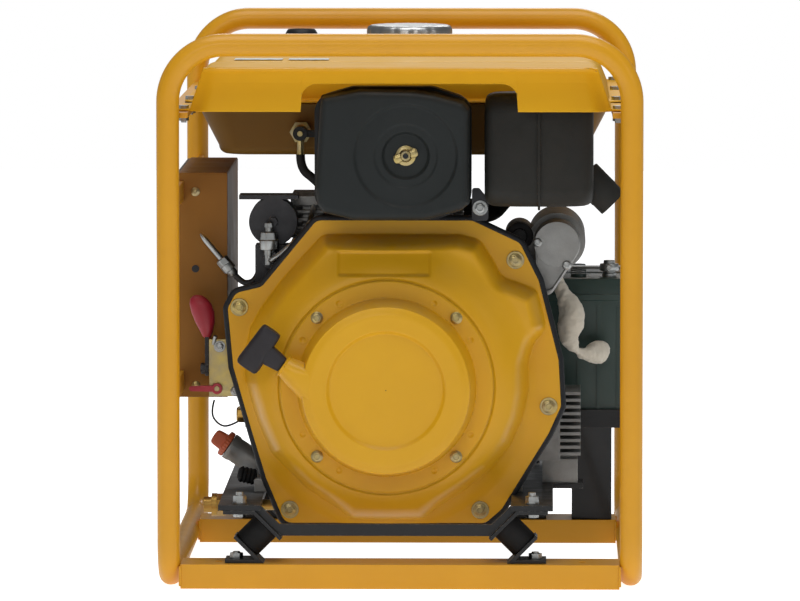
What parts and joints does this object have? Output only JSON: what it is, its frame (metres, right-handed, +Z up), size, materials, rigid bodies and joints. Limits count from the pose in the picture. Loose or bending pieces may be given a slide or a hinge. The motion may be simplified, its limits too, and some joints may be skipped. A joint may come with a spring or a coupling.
{
  "type": "engine driven welder",
  "caption": "Air-cooled single-cylinder engine with recoil starter driving a welding alternator, under a flat fuel tank in an open rectangular tube frame",
  "frame": {"origin": "on the floor, at the middle of the tube frame", "axes": "+Z up, -Y the front with the recoil starter, +X to the right seen from the front"},
  "size_m": [0.532, 0.72, 0.61],
  "materials": {
    "frame_yellow": "gloss enamel",
    "panel_yellow": "gloss enamel",
    "tank_yellow": "gloss enamel",
    "black_steel": "satin black paint",
    "edging_black": "satin black paint",
    "rubber": "matt",
    "zinc_steel": "zinc plated",
    "yellow_zinc": "yellow zinc plated",
    "dark_steel": "machined",
    "cast_alu": "as cast",
    "cast_iron": "as cast",
    "chrome": "polished",
    "black_plastic": "fine grain",
    "red_plastic": "gloss",
    "orange_plastic": "semi gloss",
    "muffler_black": "matt heat-resistant paint",
    "paper": "pleated paper",
    "rope": "braided",
    "foam_wrap": "soft wrap",
    "battery_case": "semi gloss",
    "brass": "turned",
    "copper_core": "laminated stack",
    "gauge_white": "gloss"
  },
  "bodies": {
    "frame": {"front_hoop": "frame_yellow", "rear_hoop": "frame_yellow", "skid_tubes": "frame_yellow", "front_cross_member": "frame_yellow", "rear_cross_member": "frame_yellow", "mount_brackets": "black_steel", "mount_rubbers": "rubber", "engine_cradle": "black_steel", "tank_rails": "frame_yellow", "tank_upper_shell": "tank_yellow", "tank_lower_shell": "tank_yellow", "tank_front_skirt": "tank_yellow", "frame_bolts": "zinc_steel", "fuel_gauge": "gauge_white", "fuel_tap": "yellow_zinc", "blower_housing": "panel_yellow", "engine_side_plate": "edging_black", "recoil_cover": "panel_yellow", "engine_bolts": "zinc_steel", "crankcase": "cast_alu", "cylinder_barrel": "cast_iron", "piston": "cast_alu", "cylinder_head": "cast_alu", "rocker_cover": "cast_alu", "air_cleaner_cover": "black_plastic", "air_cleaner_base": "black_plastic", "air_filter_element": "paper", "muffler": "muffler_black", "starter_motor": "cast_alu", "injection_pump": "dark_steel", "injector_line": "zinc_steel", "fuel_hose": "rubber", "lever_bracket": "yellow_zinc", "oil_drain_plug": "brass", "alternator_housing": "cast_alu", "stator": "copper_core", "alternator_end_cover": "cast_alu", "control_box": "panel_yellow", "control_panel": "black_steel", "weld_terminals": "brass", "box_brackets": "frame_yellow", "battery": "battery_case", "battery_tray": "black_steel", "battery_clamp": "zinc_steel", "wiring_harness": "foam_wrap"},
    "crank": {"crankshaft": "dark_steel", "flywheel_fan": "cast_iron", "alternator_rotor": "dark_steel"},
    "starter_pulley": {"recoil_pulley": "black_plastic", "recoil_rope": "rope"},
    "starter_grip": {"recoil_handle": "black_plastic"},
    "fuel_cap_body": {"fuel_cap": "chrome"},
    "tap_lever_body": {"fuel_tap_lever": "black_plastic"},
    "wing_nut_body": {"wing_nut": "yellow_zinc"},
    "speed_lever_body": {"speed_control_lever": "red_plastic"},
    "stop_lever_body": {"stop_lever": "red_plastic"},
    "oil_cap_body": {"oil_filler_cap": "orange_plastic"},
    "current_knob_body": {"current_knob": "black_plastic"},
    "key_body": {"key_switch": "chrome"},
    "breaker_body": {"breaker_lever": "black_plastic"}
  },
  "joints": [
    {"name": "crank_turn", "type": "hinge", "parent": "frame", "child": "crank", "pos_m": [-0.016, 0, 0.216], "axis": [0, 1, 0], "continuous": true},
    {"name": "pulley_turn", "type": "hinge", "parent": "frame", "child": "starter_pulley", "pos_m": [-0.016, -0.301, 0.216], "axis": [0, 1, 0], "range_deg": [-400, 0], "stiffness_Nm_per_rad": 0.05, "springref_deg": 57.3},
    {"name": "grip_pull", "type": "slide", "parent": "frame", "child": "starter_grip", "axis": [-0.8211, 0, 0.5708], "range_m": [0, 0.452]},
    {"name": "fuel_cap_turn", "type": "hinge", "parent": "frame", "child": "fuel_cap_body", "pos_m": [0.003, 0.07, 0.6], "axis": [0, 0, 1], "range_deg": [0, 90]},
    {"name": "fuel_tap_turn", "type": "hinge", "parent": "frame", "child": "tap_lever_body", "pos_m": [-0.114, -0.193, 0.492], "axis": [0, 1, 0], "range_deg": [0, 90]},
    {"name": "wing_nut_turn", "type": "hinge", "parent": "frame", "child": "wing_nut_body", "pos_m": [0.006, -0.323, 0.475], "axis": [0, 1, 0], "continuous": true},
    {"name": "speed_lever_tilt", "type": "hinge", "parent": "frame", "child": "speed_lever_body", "pos_m": [-0.219, -0.176, 0.228], "axis": [1, 0, 0], "range_deg": [0, 35]},
    {"name": "stop_lever_press", "type": "hinge", "parent": "frame", "child": "stop_lever_body", "pos_m": [-0.207, -0.195, 0.207], "axis": [0, 1, 0], "range_deg": [-30, 0], "stiffness_Nm_per_rad": 0.05, "springref_deg": 11.46},
    {"name": "oil_cap_turn", "type": "hinge", "parent": "frame", "child": "oil_cap_body", "pos_m": [-0.19678, -0.12, 0.13581], "axis": [-0.83, 0, 0.5578], "range_deg": [0, 90]},
    {"name": "current_knob_turn", "type": "hinge", "parent": "frame", "child": "current_knob_body", "pos_m": [-0.257, -0.005, 0.325], "axis": [-1, 0, 0], "range_deg": [0, 270]},
    {"name": "key_turn", "type": "hinge", "parent": "frame", "child": "key_body", "pos_m": [-0.257, -0.097, 0.401], "axis": [-1, 0, 0], "range_deg": [0, 60]},
    {"name": "breaker_toggle", "type": "hinge", "parent": "frame", "child": "breaker_body", "pos_m": [-0.248, 0.075, 0.401], "axis": [0, 1, 0], "range_deg": [-18, 18]}
  ],
  "couplings": [
    {"joint": "grip_pull", "follows": "pulley_turn", "m_per_rad": -0.0646}
  ]
}
